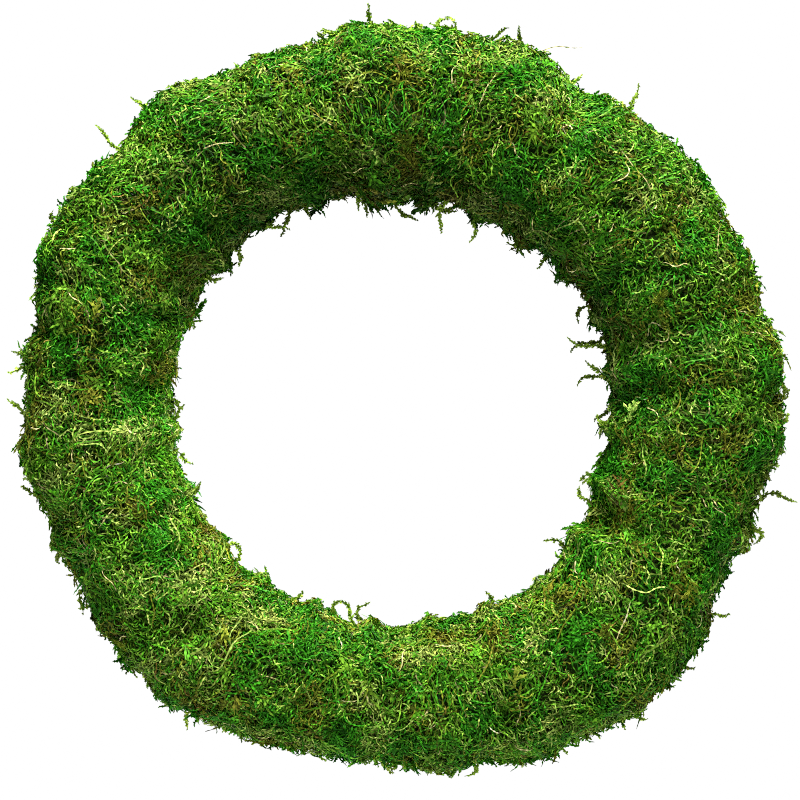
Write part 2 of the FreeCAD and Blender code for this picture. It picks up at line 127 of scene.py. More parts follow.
def wave_set(seed, wavelength, count=16):
    """A smooth random field in space, as waves of about one wavelength."""
    draw = np.random.default_rng(seed)
    directions = draw.normal(size=(3, count))
    directions /= np.linalg.norm(directions, axis=0)
    pace = 2 * np.pi / (wavelength * draw.uniform(0.7, 1.4, count))
    return directions * pace, draw.uniform(0, 2 * np.pi, count)


def waves(points, wave):
    """The field's value at each point, mostly between -1 and 1."""
    directions, phases = wave
    total = np.cos(points @ directions + phases).sum(axis=-1)
    return total * math.sqrt(1.0 / len(phases))


LUMPS = wave_set(SEED + 1, 46)
BUMPS = wave_set(SEED + 2, 19)
LUMP_HEIGHT, BUMP_HEIGHT = 1.5, 1.0


def wrapped(turn):
    """An angle brought to between -180 and 180 degrees."""
    return (turn + 180) % 360 - 180


def edges_at(angle):
    """Inner and outer radius of the firm moss at each angle, smoothed along the outline."""
    away = wrapped(np.asarray(angle)[..., None] - OUTLINE[:, 0])
    weights = np.exp(-((away / OUTLINE_SMOOTHING) ** 2) / 2) + 1e-9
    weights /= weights.sum(axis=-1, keepdims=True)
    inner, outer = weights @ OUTLINE[:, 1], weights @ OUTLINE[:, 2]
    return inner + SHOOT_COVER_INSIDE, outer - SHOOT_COVER_OUTSIDE


def section(angle, across):
    """Radius and depth of the smooth moss tube, before its lumps."""
    inner, outer = edges_at(angle)
    middle, half = (inner + outer) / 2, (outer - inner) / 2
    lean = np.radians(ACROSS_FROM + across * (ACROSS_TO - ACROSS_FROM))
    sideways, forwards = np.cos(lean), np.sin(lean)
    power = 2 / ROUNDNESS
    front = FRONT_DEPTH - SHOOT_COVER_FRONT - SIDE_DEPTH
    front_radius = middle + half * np.sign(sideways) * np.abs(sideways) ** power
    front_depth = SIDE_DEPTH + front * np.abs(forwards) ** power
    # Behind the fullest part the tube draws in to its back edge.
    back_part = np.where(sideways > 0, -lean, lean - math.pi) / math.radians(BACK_LEAN)
    quarter = np.clip(back_part, 0, 1) * math.pi / 2
    side = np.where(sideways > 0, outer, inner)
    edge = np.where(sideways > 0, EDGE_OUTSIDE, EDGE_INSIDE)
    back_radius = edge + (side - edge) * np.cos(quarter) ** BACK_ROUNDNESS
    back_depth = SIDE_DEPTH - (SIDE_DEPTH - BACK_DEPTH) * np.sin(quarter)
    return np.where(forwards >= 0, (front_radius, front_depth), (back_radius, back_depth))


def out_of_section(angle, across):
    """The direction straight out of the tube: its parts away from the axis and forwards."""
    step = 0.004
    radius_before, depth_before = section(angle, across - step)
    radius_after, depth_after = section(angle, across + step)
    run, rise = radius_after - radius_before, depth_after - depth_before
    size = np.hypot(run, rise) + 1e-9
    return rise / size, -run / size


def to_world(angle, radius, depth):
    """Points in the part's own axes, still in millimetres."""
    turn = np.radians(angle)
    x = CENTRE_X / MM + radius * np.cos(turn)
    z = CENTRE_Z / MM + radius * np.sin(turn)
    return np.stack([x, -depth, z], axis=-1)


def out_in_space(angle, out_side, out_front):
    """A direction out of the section, as vectors in the part's own axes."""
    turn = np.radians(angle)
    return np.stack([out_side * np.cos(turn), -out_front, out_side * np.sin(turn)], axis=-1)


def pinch_depth(angle, across):
    """How far the binding draws the surface in."""
    drawn = np.zeros(np.broadcast(angle, across).shape)
    for middle, slant, depth, width in PINCHES:
        away = wrapped(angle - middle - slant * (across - 0.5) * 2)
        drawn += depth * np.exp(-((away / width) ** 2))
    return drawn


def moss_surface(angle, across):
    """Points on the lumpy moss, and the direction straight out of it."""
    radius, depth = section(angle, across)
    out_side, out_front = out_of_section(angle, across)
    smooth = to_world(angle, radius, depth)
    lift = LUMP_HEIGHT * waves(smooth, LUMPS) + BUMP_HEIGHT * waves(smooth, BUMPS)
    lift = lift - pinch_depth(angle, across)
    to_turn = (angle - FIRST_TURN + TURN_PITCH / 2) % TURN_PITCH - TURN_PITCH / 2
    over_wire = np.exp(-((to_turn / BULGE_SPREAD) ** 2))
    bulge = BULGE_HEIGHT + np.where(out_side < 0, BULGE_INSIDE, BULGE_OUTSIDE) * np.abs(out_side)
    lift = lift + (np.maximum(lift, bulge) - lift) * over_wire
    # Both back edges stay neat against the frame.
    lift = lift * np.clip(np.minimum(across, 1 - across) / EDGE_FADE, 0, 1)
    radius = radius + out_side * lift
    depth = depth + out_front * lift
    # The skin never thins so far that the packing shows through it.
    least, most = HOLLOW_OUTSIDE + SKIN_LEAST, HOLLOW_INSIDE - SKIN_LEAST
    kept_off = np.where(across < 0.5, np.maximum(radius, least), np.minimum(radius, most))
    radius = np.where(depth < HOLLOW_FRONT, kept_off, radius)
    return to_world(angle, radius, depth), out_in_space(angle, out_side, out_front)


# The packing: a rounded bar of pressed moss between the rings, flat against the wall.
PACKING_MIDDLE, PACKING_HALF = 134.0, 12.4
PACKING_BACK, PACKING_FRONT = 1.7, 42.4
PACKING_SQUARENESS = 4.0
PACKING_LUMPS = wave_set(SEED + 4, 14)
PACKING_LUMP_HEIGHT = 0.9


def packing_surface(angle, across):
    """Points on a packing wad, and the direction out of it; across 0.25 is its front."""
    lean = across * 2 * math.pi
    sideways, forwards = np.cos(lean), np.sin(lean)
    power = 2 / PACKING_SQUARENESS
    half_depth = (PACKING_FRONT - PACKING_BACK) / 2
    radius = PACKING_MIDDLE + PACKING_HALF * np.sign(sideways) * np.abs(sideways) ** power
    depth = PACKING_BACK + half_depth + half_depth * np.sign(forwards) * np.abs(forwards) ** power
    steep = PACKING_SQUARENESS - 1
    out_side = np.sign(sideways) * np.abs(sideways) ** (power * steep) / PACKING_HALF
    out_front = np.sign(forwards) * np.abs(forwards) ** (power * steep) / half_depth
    size = np.hypot(out_side, out_front) + 1e-9
    out_side, out_front = out_side / size, out_front / size
    inwards = PACKING_LUMP_HEIGHT * (waves(to_world(angle, radius, depth), PACKING_LUMPS) - 1)
    radius = radius + out_side * inwards
    depth = depth + out_front * inwards
    return to_world(angle, radius, depth), out_in_space(angle, out_side, out_front)


# --- meshes from arrays ---


def mesh_from_triangles(name, points, triangles):
    """A mesh in metres from points in millimetres and rows of three point numbers."""
    mesh = bpy.data.meshes.new(name)
    mesh.vertices.add(len(points))
    mesh.vertices.foreach_set("co", (points * MM).astype(np.float32).ravel())
    mesh.loops.add(triangles.size)
    mesh.loops.foreach_set("vertex_index", triangles.astype(np.int32).ravel())
    mesh.polygons.add(len(triangles))
    starts = np.arange(0, triangles.size, 3, dtype=np.int32)
    mesh.polygons.foreach_set("loop_start", starts)
    mesh.update(calc_edges=True)
    return mesh


def add_object(name, data, material=None):
    """Put a mesh, light or camera into the scene."""
    piece = bpy.data.objects.new(name, data)
    bpy.context.scene.collection.objects.link(piece)
    if material is not None:
        data.materials.append(material)
    return piece


def tube_triangles(rows, columns):
    """Triangles between rows of points that each run round a section."""
    row, column = np.meshgrid(np.arange(rows - 1), np.arange(columns), indexing="ij")
    beside = (column + 1) % columns
    here, next_here = row * columns + column, row * columns + beside
    above, next_above = here + columns, next_here + columns
    return np.concatenate([
        np.stack([here, next_here, next_above], -1).reshape(-1, 3),
        np.stack([here, next_above, above], -1).reshape(-1, 3),
    ])


# --- moss shoots ---

# Kinds of shoot: how many steps from leaf to leaf, the least and the greatest length, how far a
# leaf reaches sideways, how much of its freedom it uses, and whether it is a plain ribbon.
Kind = namedtuple("Kind", "steps length leaf looseness ribbon", defaults=(1.0, True))
BRANCHLET = Kind(5, (3.0, 6.6), 0.26)
SHOOT = Kind(9, (6.0, 13.0), 0.27, looseness=0.8)
STEM = Kind(14, (11.0, 19.0), 0.45, looseness=0.6, ribbon=False)
RUNNER = Kind(22, (14.0, 30.0), 0.30, looseness=0.25)
STRAW = Kind(9, (7.0, 18.0), 0.23, looseness=0.2)
# Each kind that grows on a pad with its share of the pad's shoots.
SHARES = ((BRANCHLET, 0.767), (SHOOT, 0.20), (STEM, 0.006), (RUNNER, 0.020), (STRAW, 0.007))
# Curled shoots that stand along both rims, and the coarse ones on the packing.
RIM_SHOOT = Kind(9, (2.8, 8.5), 0.46)
PACKING_SHOOT = Kind(10, (7.0, 15.0), 0.6)
MOSS_THICKNESS = 3.3
# Painted highlight on a shoot's leaves and beads and painted shade between them, and how much wider
# leaves are in the air.
LEAF_HIGHLIGHT, BETWEEN_SHADE, FREE_LEAF_GAIN = 1.32, 0.62, 0.35
# The ranges within which shoots waver, arch, rise from the moss and sag under their weight.
WOBBLE, PACE, ARCH, STEEPNESS, SAG = (0.2, 0.8), (0.6, 1.6), (0.0, 1.3), (0.3, 1.9), (0.0, 0.3)
ROOT_SINK, TIP_RISE, FREE_START = 0.3, 0.5, 0.85
BRANCH_REACH, BRANCH_SWEEP, BRANCH_WIDTH = 5.0, 0.35, 0.5


def unit(vectors):
    """Vectors of length one."""
    return vectors / (np.linalg.norm(vectors, axis=-1, keepdims=True) + 1e-12)


def walk(way, step):
    """How far a walk of equal steps has come, from 0 on."""
    return np.cumsum(way * step, axis=1) - way[:, :1] * step


def shoot_paths(draw, kind, surface, angle, across, heading, layer, freedom, curl):
    """Stem points and outward directions of shoots that start at places on the moss.

    From 0 to 1, the layer says how high a shoot lies, and the freedom how much it leaves the moss.
    """
    steps, each = kind.steps, (len(angle), 1)
    length = draw.uniform(*kind.length, each)
    run = np.linspace(0, 1, steps + 1)[None, :]
    wobble = draw.uniform(*WOBBLE, each)
    pace = draw.uniform(*PACE, each)
    phase = draw.uniform(0, 2 * np.pi, each)
    turned = heading[:, None] + curl[:, None] * run ** 1.5
    turned = turned + wobble * (np.sin(2 * np.pi * pace * run + phase) - np.sin(phase))
    step = length / steps
    round_ring, over_section = walk(np.cos(turned), step), walk(np.sin(turned), step)
    level = layer[:, None] * MOSS_THICKNESS
    arch = draw.uniform(*ARCH, each)
    height = level * (0.45 + 0.55 * np.sin(np.pi * np.clip(run * 1.15, 0, 1)) ** 0.5)
    height = height + arch * np.sin(np.pi * run) - ROOT_SINK
    height = height + draw.normal(0, TIP_RISE, each) * run

    start, out = surface(angle, across)
    nudge = 0.01
    beside, _ = surface(angle, across + nudge)
    over = unit(beside - start)
    per_across = np.linalg.norm(beside - start, axis=-1) / nudge + 20
    around, _ = surface(angle + 0.3, across)
    along = unit(around - start)
    radius = np.linalg.norm(start[:, [0, 2]] - [CENTRE_X / MM, CENTRE_Z / MM], axis=-1)

    # A shoot either hugs the moss or goes its own way through the air.
    angles = angle[:, None] + np.degrees(round_ring / radius[:, None])
    acrosses = across[:, None] + over_section / per_across[:, None]
    hugging, hugging_out = surface(angles, np.clip(acrosses, 0.0, 1.0))
    hugging = hugging + hugging_out * height[..., None]
    steepness = freedom[:, None] * draw.uniform(*STEEPNESS, each)
    spread = 1 / np.sqrt(1 + steepness ** 2)
    rising = length * steepness * (run - 0.25 * run ** 2)
    lifted = FREE_START * level + rising * spread
    own_way = start[:, None, :]
    for way, far in ((along, round_ring * spread), (over, over_section * spread), (out, lifted)):
        own_way = own_way + way[:, None, :] * far[..., None]
    own_way[..., 2] -= length * draw.uniform(*SAG, each) * run ** 2
    free = freedom[:, None, None]
    points = hugging * (1 - free) + own_way * free
    outward = unit(hugging_out * (1 - free) + out[:, None, :] * free)
    return points, outward


def side_branches(draw, points, outward, leaf_pairs=4):
    """Branchlets to both sides of stems, longer in the middle of a stem than at its tip."""
    count, stations, _ = points.shape
    chosen = np.arange(2, stations - 1)
    along = unit(points[:, chosen + 1] - points[:, chosen])
    upright = outward[:, chosen]
    sideways = unit(np.cross(along, upright))
    each = (count, len(chosen), 1)
    side = np.where((chosen % 2 == 0), 1.0, -1.0)[None, :, None]
    side = side * np.sign(draw.random((count, 1, 1)) - 0.5)
    lean = draw.uniform(0.7, 1.15, each)
    heading = along * np.cos(lean) + sideways * side * np.sin(lean)
    heading = unit(heading + upright * draw.uniform(-0.25, 0.5, each))
    place = chosen / stations
    reach = BRANCH_REACH * np.sin(np.pi * np.clip(place * 0.85 + 0.12, 0, 1))[None, :, None]
    reach = reach * draw.uniform(0.45, 1.15, each)
    run = np.linspace(0, 1, leaf_pairs + 1)[None, None, :, None]
    roots = points[:, chosen][:, :, None, :]
    path = roots + heading[:, :, None, :] * (reach[..., None] * run)
    path = path + along[:, :, None, :] * (reach[..., None] * BRANCH_SWEEP * run ** 2)
    outwards = np.broadcast_to(upright[:, :, None, :], path.shape)
    shape = (count * len(chosen), leaf_pairs + 1, 3)
    return path.reshape(shape), outwards.reshape(shape), np.repeat(np.arange(count), len(chosen))


def leafy_triangles(draw, points, outward, leaf, twist):
    """Points and triangles of shoots: each step of a stem carries a leaf to either side.

    The leaves of a shoot in the air turn round its stem by the twist at each step.
    """
    count, stations, _ = points.shape
    steps = stations - 1
    along = points[:, 1:] - points[:, :-1]
    stride = np.linalg.norm(along, axis=-1, keepdims=True)
    forwards = along / (stride + 1e-9)
    sideways = unit(np.cross(forwards, outward[:, :-1]))
    upright = np.cross(sideways, forwards)
    run = np.linspace(0, 1, steps)[None, :]
    taper = np.minimum(0.75 + run * 2.0, 1.0) * np.minimum(0.5 + (1 - run) * 2.5, 1.0)
    roll = draw.uniform(-0.7, 0.7, (count, 1)) + twist[:, None] * np.arange(steps)
    size = leaf * (1 + FREE_LEAF_GAIN * twist[:, None]) * taper
    tips = []
    for side in (1, -1):
        reach = size * draw.uniform(0.65, 1.35, (count, steps))
        fold = roll + side * draw.uniform(-0.3, 0.9, (count, steps))
        outwards = sideways * (np.cos(fold) * side)[..., None]
        outwards = outwards + upright * (np.sin(fold) * side)[..., None]
        forwards_by = draw.uniform(0.45, 1.05, (count, steps))[..., None] * stride
        tips.append(points[:, :-1] + forwards * forwards_by + outwards * reach[..., None])
    all_points = np.concatenate([part.reshape(-1, 3) for part in (points, *tips)])
    leaf_number = np.arange(count * steps)
    leaf_owner = leaf_number // steps
    stem = leaf_number + leaf_owner
    left = count * stations + leaf_number
    triangles = np.concatenate([
        np.stack([stem, stem + 1, left], -1), np.stack([stem + 1, stem, left + count * steps], -1),
    ])
    owner = np.concatenate([np.repeat(np.arange(count), stations), leaf_owner, leaf_owner])
    stem_way = np.tile(np.linspace(0, 1, stations), count)
    part_way = np.concatenate([stem_way, np.tile(run[0], 2 * count)])
    side = np.repeat([0.0, 1.0, -1.0], [count * stations, count * steps, count * steps])
    # Painted highlights at the leaf tips and painted shade at the stem points.
    leaf_and_bead_light = np.where(side == 0, BETWEEN_SHADE, LEAF_HIGHLIGHT)
    return all_points, triangles, owner, part_way, side, leaf_and_bead_light


def ribbon_triangles(draw, points, outward, width, twist, quarter_turn=False):
    """Points and triangles of shoots as narrow ribbons with uneven, beaded edges."""
    count, stations, _ = points.shape
    steps = stations - 1
    forwards = np.empty_like(points)
    forwards[:, 1:-1] = points[:, 2:] - points[:, :-2]
    forwards[:, 0] = points[:, 1] - points[:, 0]
    forwards[:, -1] = points[:, -1] - points[:, -2]
    forwards = unit(forwards)
    sideways = unit(np.cross(forwards, outward))
    upright = np.cross(sideways, forwards)
    run = np.linspace(0, 1, stations)[None, :]
    taper = np.minimum(0.5 + run * 3.0, 1.0) * np.minimum(0.25 + (1 - run) * 3.0, 1.0)
    roll = draw.uniform(-0.6, 0.6, (count, 1)) + twist[:, None] * np.arange(stations) * 0.5
    roll = roll + (math.pi / 2 if quarter_turn else 0)
    across = sideways * np.cos(roll)[..., None] + upright * np.sin(roll)[..., None]
    # Leaves make a bead at every other point along the stem.
    bead = (np.arange(stations)[None, :] + draw.integers(0, 2, (count, 1))) % 2
    size = width * (1 + FREE_LEAF_GAIN * twist[:, None]) * taper * (0.62 + 0.72 * bead)
    edges = []
    for side in (1, -1):
        reach = size * draw.uniform(0.7, 1.3, (count, stations))
        edges.append((points + side * across * reach[..., None]).reshape(-1, 3))
    all_points = np.concatenate(edges)
    left = np.arange(count * steps) + np.repeat(np.arange(count), steps)
    right = left + count * stations
    triangles = np.concatenate([
        np.stack([left, left + 1, right], -1), np.stack([right, left + 1, right + 1], -1),
    ])
    owner = np.tile(np.repeat(np.arange(count), stations), 2)
    part_way = np.tile(run[0], 2 * count)
    side = np.repeat([1.0, -1.0], count * stations)
    # Painted highlights on the beads and painted shade between them.
    leaf_and_bead_light = np.tile((BETWEEN_SHADE + (LEAF_HIGHLIGHT - BETWEEN_SHADE) * bead).ravel(), 2)
    return all_points, triangles, owner, part_way, side, leaf_and_bead_light


# --- colours ---

# Moss tints, as linear red, green and blue.
TINTS = {
    "emerald": (0.032, 0.222, 0.008),
    "green": (0.066, 0.270, 0.010),
    "leaf": (0.142, 0.345, 0.022),
    "lime": (0.296, 0.455, 0.082),
    "olive": (0.165, 0.215, 0.018),
    "brown": (0.165, 0.125, 0.022),
    "straw": (0.580, 0.530, 0.240),
}
TINT_TABLE = np.array(list(TINTS.values()))
TINT_ORDER = list(TINTS)
# Stretches painted paler, darker or browner: the darker ones, on the inner side, are painted shade in
# the moss's hollows and under its upper rim, and the others change its own colour.
# Each gives the angle, its spread, from how far across it reaches, and how much red, green and blue it
# gains.
TINT_AND_SHADE_STRETCHES = [
    (82, 72, 0.575, (-0.40, -0.40, -0.32)), (198, 38, 0.68, (0.54, 0.44, 0.55)),
    (182, 14, 0.66, (0.30, 0.30, 0.25)), (160, 12, 0.70, (0.62, 0.60, 0.45)),
    (190, 45, -1.0, (0.12, 0.10, 0.16)), (268, 62, 0.56, (0.26, 0.06, 0.15)),
    (90, 60, -1.0, (0.06, 0.0, 0.0)), (92, 38, 0.56, (-0.26, -0.27, -0.22)),
    (140, 28, 0.545, (-0.27, -0.30, -0.25)), (16, 30, 0.55, (-0.22, -0.20, -0.15)),
    (335, 26, 0.60, (0.30, 0.28, 0.30)),
]
STRETCH_EDGE = 0.04
# Patches of one tint: their waves, how sharply they stand out, and how common they are.
PATCHES = {
    "emerald": (wave_set(SEED + 11, 30), 2.3, -0.1),
    "olive": (wave_set(SEED + 12, 24), 2.3, -1.1),
    "lime": (wave_set(SEED + 13, 22), 2.0, -0.9),
}
PATCH_CONTRAST = 1.25


def tint_weights(points):
    """How much of each tint grows at each place, in TINT_ORDER."""
    found = {name: np.exp(sharp * waves(points, wave) + common)
             for name, (wave, sharp, common) in PATCHES.items()}
    plain = np.ones(len(points))
    weights = np.stack([
        found["emerald"], 1.1 * plain, 1.2 * plain, found["lime"],
        found["olive"], 0.10 * found["olive"], 0.02 * plain,
    ], axis=-1) ** PATCH_CONTRAST
    return weights / weights.sum(axis=-1, keepdims=True)


def pick_tints(draw, points, angle, across):
    """One colour per shoot, from the patch it grows in, with the stretches laid over it, painted shade
    among them.
    """
    summed = np.cumsum(tint_weights(points), axis=-1)
    choice = (draw.random(len(points))[:, None] > summed).sum(axis=-1)
    choice = np.minimum(choice, len(TINT_ORDER) - 1)
    colour = TINT_TABLE[choice] * draw.uniform(0.7, 1.3, (len(points), 1))
    colour = colour * draw.uniform(0.9, 1.1, (len(points), 3))
    # The darker stretches paint shade into the colour; the others change the moss's own colour.
    for middle, spread, side, gains in TINT_AND_SHADE_STRETCHES:
        away = wrapped(angle - middle)
        here = np.exp(-((away / spread) ** 2)) / (1 + np.exp(-(across - side) / STRETCH_EDGE))
        colour = colour * (1 + here[:, None] * np.array(gains))
    return np.clip(colour, 0, 1)


def pick_straw_tints(draw, points, angle, across):
    """One pale colour per dry stalk."""
    colour = TINT_TABLE[TINT_ORDER.index("straw")]
    return np.clip(colour * draw.uniform(0.5, 1.4, (len(points), 1)), 0, 1)


def paint(mesh, colours):
    """Store a colour for each point of a mesh, for the moss material to read."""
    layer = mesh.color_attributes.new("shoot_colour_and_light", "BYTE_COLOR", "POINT")
    shown = np.concatenate([colours, np.ones((len(colours), 1))], axis=1)
    layer.data.foreach_set("color", shown.astype(np.float32).ravel())


CELL_MARGIN = 0.12


def lay_out_cells(mesh, owner, part_way, side, count):
    """Give each shoot its own small cell of the texture, to bake its colour into."""
    columns = math.ceil(math.sqrt(count))
    u = (owner % columns + CELL_MARGIN + (1 - 2 * CELL_MARGIN) * part_way) / columns
    v = (owner // columns + 0.5 + (0.5 - CELL_MARGIN) * side) / columns
    corners = np.empty(len(mesh.loops), dtype=np.int32)
    mesh.loops.foreach_get("vertex_index", corners)
    layer = mesh.uv_layers.new(name="OFBake")
    layer.data.foreach_set("uv", np.stack([u, v], -1)[corners].astype(np.float32).ravel())


def make_shoots(name, batches, material):
    """One piece out of batches of shoots, each a tuple of the six kinds of array taken here."""
    points, triangles, owners, parts, sides, colours = zip(*batches)
    point_starts = np.cumsum([0] + [len(batch) for batch in points])
    shoot_starts = np.cumsum([0] + [owner.max() + 1 for owner in owners])
    triangles = [batch + first for batch, first in zip(triangles, point_starts)]
    owners = [batch + first for batch, first in zip(owners, shoot_starts)]
    mesh = mesh_from_triangles(name, np.concatenate(points), np.concatenate(triangles))
    paint(mesh, np.concatenate(colours))
    owner, part_way, side = (np.concatenate(arrays) for arrays in (owners, parts, sides))
    lay_out_cells(mesh, owner, part_way, side, shoot_starts[-1])
    return add_object(name, mesh, material)


# Colour painted as light and shade on the shoots: the light painted deep in the moss, its growth
# towards the top, and the light painted on a shoot in the air;
# the painted shade at a root and its gain to the tip; how much shoots and leaves differ; how fast each
# colour fades in painted shade.
DEEP_LIGHT, LIGHT_POWER, FREE_LIGHT = 0.135, 1.6, 0.9
ROOT_LIGHT, TIP_GAIN = 0.75, 0.43
SHOOT_VARIETY, LEAF_VARIETY = 0.22, 0.16
FADE_POWERS = np.array([1.12, 1.0, 1.25])


def coloured(draw, mesh, shoot_colours, layer, freedom):
    """A batch of shoots with colours: painted shade deep in the moss and at the roots, painted light
    at the top and the tips.
    """
    *shape, owner, part_way, side, leaf_and_bead_light = mesh
    # Shoots low in the moss get painted shade; those high up or in the air get painted light.
    height = np.maximum(layer, FREE_LIGHT * freedom)
    light = (DEEP_LIGHT + height ** LIGHT_POWER) * np.exp(draw.normal(0, SHOOT_VARIETY, len(layer)))
    # Painted shade at each shoot's root, growing to painted light at its tip.
    root_to_tip_light = ROOT_LIGHT + TIP_GAIN * part_way
    leaf_light = np.exp(draw.normal(0, LEAF_VARIETY, len(owner)))
    light = light[owner] * root_to_tip_light * leaf_light * leaf_and_bead_light
    # Blue fades fastest in the painted shade, and red faster than green.
    shown = np.clip(shoot_colours[owner] * light[:, None] ** FADE_POWERS, 0, 1)
    return *shape, owner, part_way, side, shown


def grow(draw, kind, surface, roots, tinting):
    """Batches of shoots of one kind, from a dict of their roots' values."""
    points, outward = shoot_paths(draw, kind, surface, **roots)
    inside = within_limits(points)
    points, outward = points[inside], outward[inside]
    if len(points) == 0:
        return []
    layer, freedom = roots["layer"][inside], roots["freedom"][inside]
    colours = tinting(draw, points[:, 0], roots["angle"][inside], roots["across"][inside])
    if kind.ribbon:
        return ribbon_batches(draw, points, outward, kind.leaf, layer, freedom, colours)
    branches, branch_outward, owner = side_branches(draw, points, outward)
    mesh = leafy_triangles(draw, points, outward, kind.leaf, freedom)
    return [coloured(draw, mesh, colours, layer, freedom)] + ribbon_batches(
        draw, branches, branch_outward, BRANCH_WIDTH, layer[owner], freedom[owner], colours[owner]
    )


def ribbon_batches(draw, points, outward, width, layer, freedom, colours):
    """Shoots as ribbons; those that stand in the air get a second ribbon across the first."""
    batches = []
    for chosen, quarter_turn in ((freedom >= 0, False), (freedom > 0, True)):
        if chosen.any():
            free = freedom[chosen]
            mesh = ribbon_triangles(draw, points[chosen], outward[chosen], width, free, quarter_turn)
            batches.append(coloured(draw, mesh, colours[chosen], layer[chosen], free))
    return batches


# No shoot grown on the pads or the packing reaches further than this from the axis, to the front, or
# behind the back.
FARTHEST_OUT, FARTHEST_FRONT, FARTHEST_BEHIND = 189.0, 72.5, 1.6


def within_limits(points):
    """Which shoots stay in the room the wreath may take up."""
    x, y, z = np.moveaxis(points, -1, 0)
    away = np.hypot(x - CENTRE_X / MM, z - CENTRE_Z / MM)
    return ((away < FARTHEST_OUT) & (-y < FARTHEST_FRONT) & (y < FARTHEST_BEHIND)).all(axis=1)


# --- where the shoots grow ---

TUFT_SPACING, TUFT_SPREAD = 11.0, 5.0
SHOOTS_PER_TUFT = 164
LIE_SIDEWAYS = wave_set(SEED + 21, 50)
LIE_UPWARDS = wave_set(SEED + 22, 50)
SHAGGINESS = wave_set(SEED + 23, 34)
# How far from the axis the moss's middle is, and how long its section is from edge to edge.
MIDDLE_RADIUS, SECTION_LENGTH = 138, 170.0
# The shaggiest stretch of the ring, at its top, and how far it spreads.
SHAGGY_ANGLE, SHAGGY_SPREAD = 86.0, 32.0
# How much tufts differ in heading and curl, and shoots from the rest of their tuft.
TUFT_HEADING, SHOOT_HEADING = 0.5, 0.42
TUFT_CURL, SHOOT_CURL = 0.9, 0.45
# The share of shoots between the tufts, and the share kept at the back.
LOOSE_SHARE, BACK_KEPT = 0.4, 0.6
# The share of shoots that stand in the air, and what shagginess and a rim add to it.
STANDING_SHARE, SHAGGY_GAIN, RIM_GAIN = 0.03, 0.08, 0.20
# How far off the section's middle the back begins, and how flat shoots lie there.
BACK_PLACE, BACK_FLATNESS = 0.38, 0.6
# How far off the middle of the section its rims are, as a part of the way across.
RIM_PLACE, RIM_WIDTH = 90 / (ACROSS_TO - ACROSS_FROM), 0.06


def plant_tufts(draw):
    """Angle, across, heading and shagginess of every tuft."""
    columns = round(2 * math.pi * MIDDLE_RADIUS / TUFT_SPACING)
    rows = round(SECTION_LENGTH / TUFT_SPACING)
    column, row = np.meshgrid(np.arange(columns), np.arange(rows), indexing="ij")
    shift = draw.uniform(-0.5, 0.5, (2, columns * rows))
    angle = (column.ravel() + 0.5 * (row.ravel() % 2) + shift[0]) * 360 / columns
    across = np.clip((row.ravel() + 0.5 + shift[1]) / rows, 0.02, 0.98)
    places, out = moss_surface(angle, across)
    turn = np.radians(angle)
    along_down = -np.cos(turn)
    over_down = np.sin(turn) * np.clip(-out[:, 1] + 0.2, 0, 1)
    heading = np.arctan2(
        waves(places, LIE_UPWARDS) + 0.5 * over_down, waves(places, LIE_SIDEWAYS) + 0.5 * along_down
    )
    heading = heading + draw.normal(0, TUFT_HEADING, len(angle))
    away = wrapped(angle - SHAGGY_ANGLE)
    shaggy = 0.35 + 0.3 * waves(places, SHAGGINESS) + 0.5 * np.exp(-((away / SHAGGY_SPREAD) ** 2))
    return angle, across, heading, np.clip(shaggy, 0, 1)


def plant_shoots(draw):
    """The root of every shoot on the ring, gathered in tufts that each lie one way."""
    angle, across, heading, shaggy = plant_tufts(draw)
    tuft = np.repeat(np.arange(len(angle)), SHOOTS_PER_TUFT)
    count = len(tuft)
    spread = draw.normal(0, TUFT_SPREAD, (2, count))
    roots = dict(
        angle=angle[tuft] + np.degrees(spread[0] / MIDDLE_RADIUS),
        across=np.clip(across[tuft] + spread[1] / SECTION_LENGTH, 0.01, 0.99),
        heading=heading[tuft] + draw.normal(0, SHOOT_HEADING, count),
        layer=draw.random(count),
        freedom=draw.uniform(0.35, 1.0, count),
        curl=draw.normal(0, TUFT_CURL, len(angle))[tuft] + draw.normal(0, SHOOT_CURL, count),
    )
    # Some shoots grow between the tufts, and the rims are the most ragged.
    loose = draw.random(count) < LOOSE_SHARE
    roots["angle"] = np.where(loose, draw.uniform(0, 360, count), roots["angle"])
    roots["across"] = np.where(loose, draw.uniform(0.01, 0.99, count), roots["across"])
    rim = np.exp(-(((np.abs(roots["across"] - 0.5) - RIM_PLACE) / RIM_WIDTH) ** 2))
    share = STANDING_SHARE + (SHAGGY_GAIN + RIM_GAIN * rim) * shaggy[tuft]
    roots["freedom"] = np.where(draw.random(count) < share, roots["freedom"], 0.0)
    # The back of the moss lies flat against the frame, and grows thinner.
    back = np.abs(roots["across"] - 0.5) > BACK_PLACE
    roots["freedom"] = np.where(back, 0.0, roots["freedom"])
    # Lying lower, the back's shoots also get deeper painted shade.
    roots["layer"] = np.where(back, BACK_FLATNESS * roots["layer"], roots["layer"])
    keep = ~back | (draw.random(count) < BACK_KEPT)
    return {name: values[keep] for name, values in roots.items()}


RIM_BUNCHES_PER_PAD, RIM_BUNCH_SIZE = 80, 5
OUTER_RIM_SHARE = 0.6


